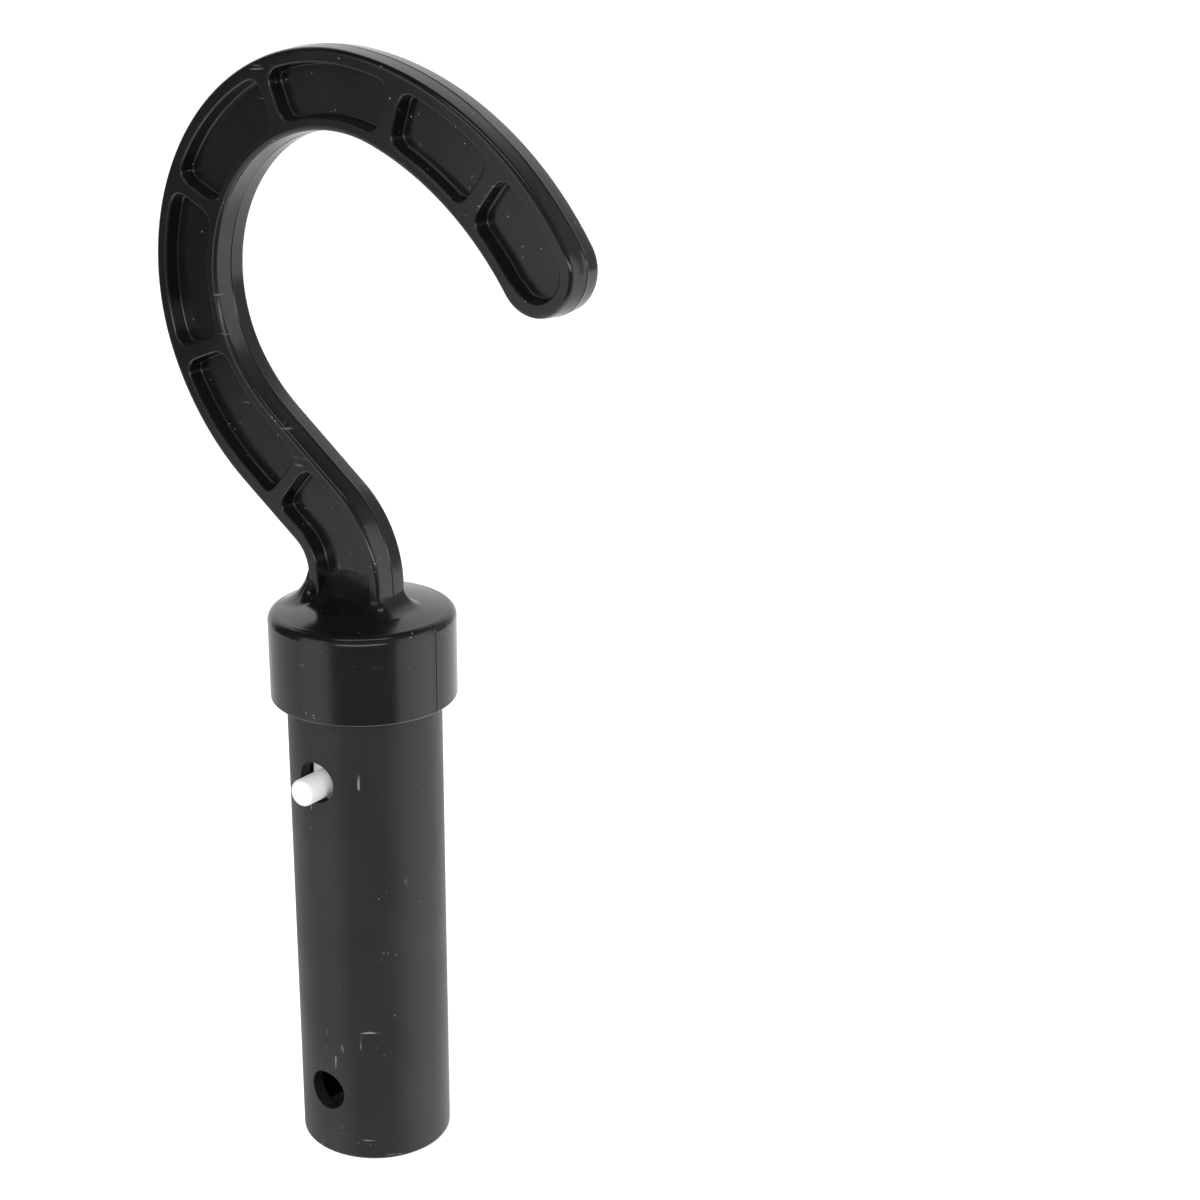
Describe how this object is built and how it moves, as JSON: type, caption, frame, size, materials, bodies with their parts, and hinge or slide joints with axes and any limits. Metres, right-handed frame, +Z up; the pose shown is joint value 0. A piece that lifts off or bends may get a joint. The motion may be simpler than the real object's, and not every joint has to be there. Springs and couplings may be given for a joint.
{
  "type": "telescopic pole hook",
  "caption": "Flat ribbed plastic hook on a collared round spigot, with a sprung snap pin that locks it into a telescopic pole.",
  "frame": {"origin": "on the tube's axis, in the plane of the shoulder under the collar, where the pole's end stops", "axes": "+Z up the tube's axis towards the hook, +X towards the hook's tip, the hook lies in the XZ plane and the clip's pins point along Y"},
  "size_m": [0.0937, 0.0368, 0.2051],
  "materials": {
    "head_plastic": "satin black moulding with glossy edges",
    "tube_plastic": "fine matte black",
    "clip_plastic": "natural white moulding"
  },
  "bodies": {
    "head": {"hook_head": "head_plastic", "spigot_tube": "tube_plastic", "clip_bow": "clip_plastic"},
    "front_leg": {"clip_leg_front": "clip_plastic", "clip_pin_front": "clip_plastic"},
    "back_leg": {"clip_leg_back": "clip_plastic", "clip_pin_back": "clip_plastic"}
  },
  "joints": [
    {"name": "front_pin_press", "type": "hinge", "parent": "head", "child": "front_leg", "pos_m": [0, -0.0034, -0.058], "axis": [-1, 0, 0], "range_deg": [0, 5.6], "stiffness_Nm_per_rad": 2, "springref_deg": -2.86},
    {"name": "back_pin_press", "type": "hinge", "parent": "head", "child": "back_leg", "pos_m": [0, 0.0034, -0.058], "axis": [1, 0, 0], "range_deg": [0, 5.6], "stiffness_Nm_per_rad": 2, "springref_deg": -2.86}
  ]
}
